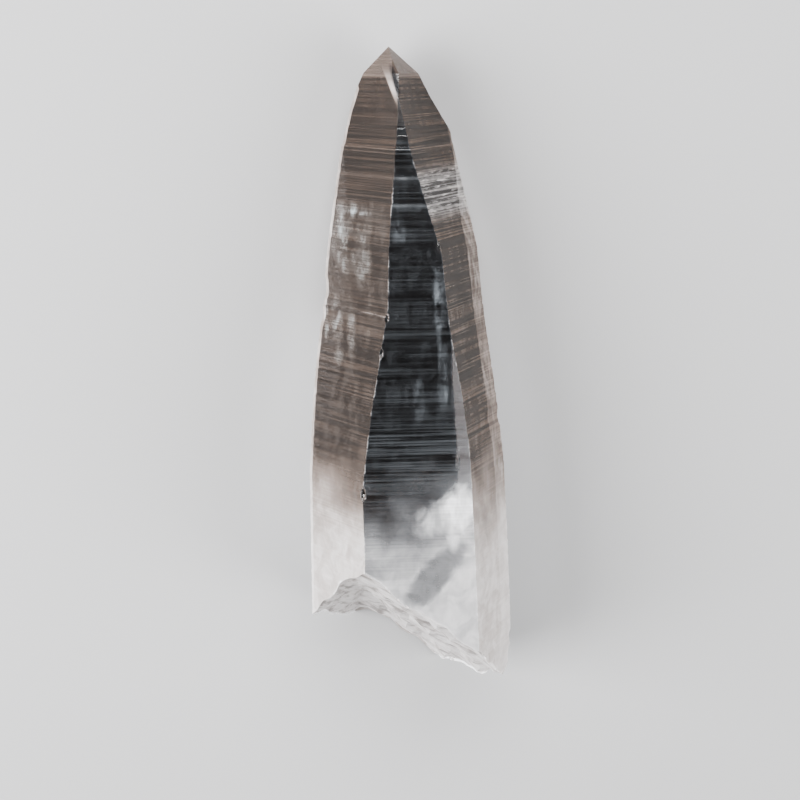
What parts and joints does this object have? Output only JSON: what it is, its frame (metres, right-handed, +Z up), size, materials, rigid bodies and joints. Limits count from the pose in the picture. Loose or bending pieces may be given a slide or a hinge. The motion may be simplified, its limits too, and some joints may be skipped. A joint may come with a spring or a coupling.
{
  "type": "lemurian quartz crystal",
  "caption": "Clear, tapering quartz point with fine cross striations, small terminal faces and a broken milky foot, lying on its flat back face.",
  "frame": {"origin": "on the resting surface, under the middle of the crystal's bounding box", "axes": "+Y along the crystal towards its tip, +X across it, +Z up out of the face that looks upwards"},
  "size_m": [0.0294, 0.0948, 0.0245],
  "materials": {
    "clear_quartz": "clear, finely striated, milky towards the broken foot"
  },
  "bodies": {
    "root": {"lemurian_quartz_crystal": "clear_quartz"}
  },
  "joints": []
}
